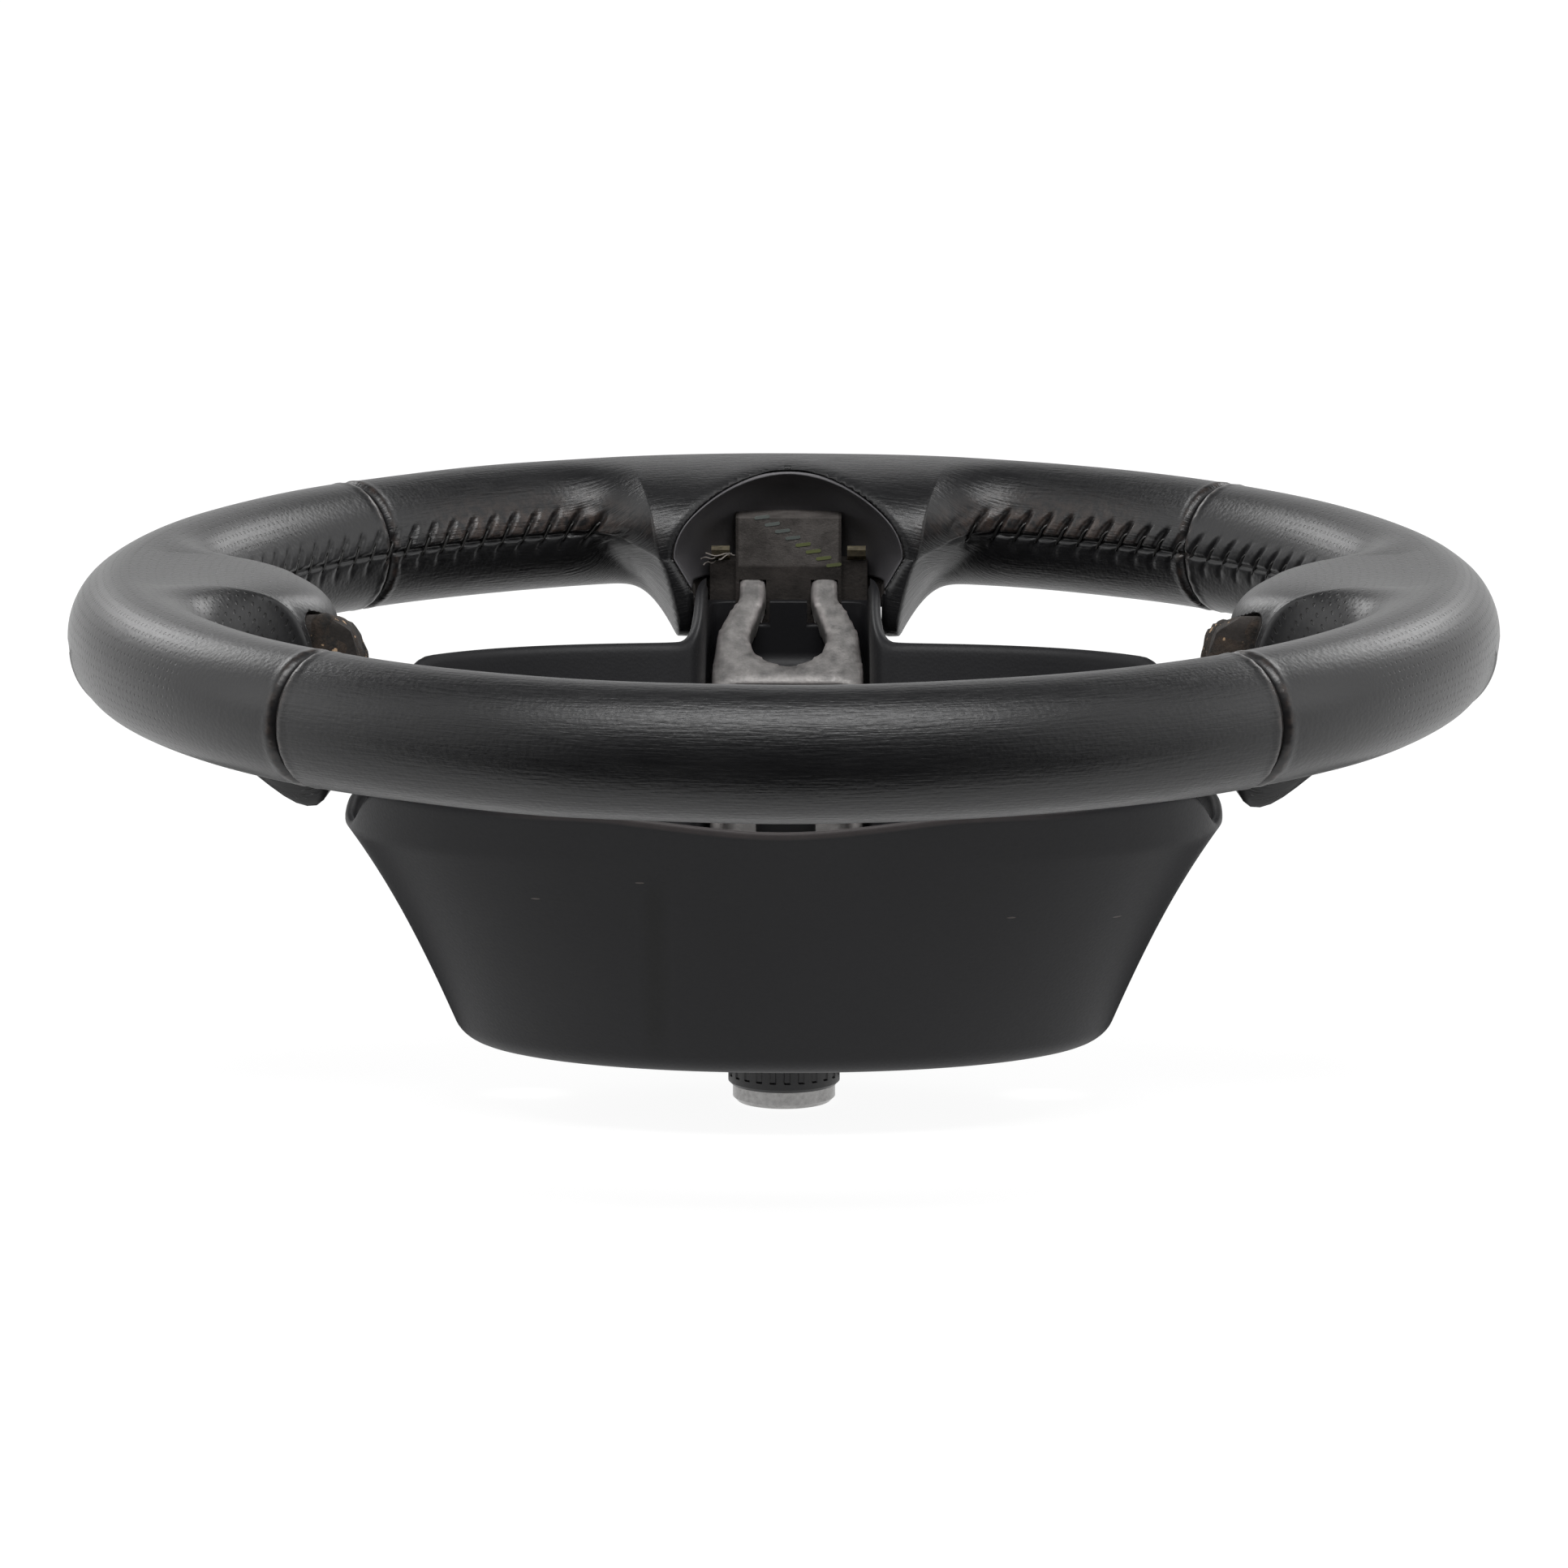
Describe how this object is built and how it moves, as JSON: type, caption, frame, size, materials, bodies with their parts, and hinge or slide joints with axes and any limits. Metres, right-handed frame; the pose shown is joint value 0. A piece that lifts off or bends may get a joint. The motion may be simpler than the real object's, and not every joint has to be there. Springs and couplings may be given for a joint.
{
  "type": "car steering wheel",
  "caption": "Three-spoke leather car steering wheel without its airbag, with thumb rests, a cast armature, sprung horn contacts and a deep back cover.",
  "frame": {"origin": "on the steering axis, at the open end of the hub bush", "axes": "+Z along the steering axis towards the driver, 12 o'clock at -Y, +X to the right for a viewer at 12 o'clock"},
  "size_m": [0.375, 0.375, 0.1434],
  "materials": {
    "cast_alloy": "rough cast, oxidised",
    "steel_tube": "drawn tube",
    "turned_steel": "turned",
    "black_plastic": "moulded, smooth",
    "foam": "moulded foam skin, rough where torn",
    "smooth_leather": "fine grain, polished by hands",
    "perforated_leather": "fine grain with rows of small holes",
    "grained_plastic": "fine moulded grain",
    "screw_steel": "zinc plated",
    "post_steel": "turned and plated",
    "spring_steel": "drawn wire",
    "cap_plastic": "moulded, satin",
    "brass": "brass strip, tarnished"
  },
  "bodies": {
    "wheel": {"armature": "cast_alloy", "rim_ring": "steel_tube", "spline_bush": "turned_steel", "cancel_cam": "black_plastic", "rim_foam": "foam", "leather_top": "smooth_leather", "leather_bottom": "smooth_leather", "leather_left": "perforated_leather", "leather_right": "perforated_leather", "back_cover": "grained_plastic", "cover_screws": "screw_steel", "horn_post_left": "post_steel", "horn_post_right": "post_steel", "horn_post_lower": "post_steel", "horn_spring_left": "spring_steel", "horn_spring_right": "spring_steel", "horn_spring_lower": "spring_steel", "clip_left": "brass", "clip_right": "brass"},
    "left_cap": {"horn_cap_left": "cap_plastic"},
    "right_cap": {"horn_cap_right": "cap_plastic"},
    "lower_cap": {"horn_cap_lower": "cap_plastic"}
  },
  "joints": [
    {"name": "left_horn_press", "type": "slide", "parent": "wheel", "child": "left_cap", "axis": [0, 0, -1], "range_m": [0, 0.0025], "stiffness_N_per_m": 900, "springref_m": -0.002, "deforming": ["horn_spring_left"]},
    {"name": "right_horn_press", "type": "slide", "parent": "wheel", "child": "right_cap", "axis": [0, 0, -1], "range_m": [0, 0.0025], "stiffness_N_per_m": 900, "springref_m": -0.002, "deforming": ["horn_spring_right"]},
    {"name": "lower_horn_press", "type": "slide", "parent": "wheel", "child": "lower_cap", "axis": [0, 0, -1], "range_m": [0, 0.0025], "stiffness_N_per_m": 900, "springref_m": -0.002, "deforming": ["horn_spring_lower"]}
  ]
}
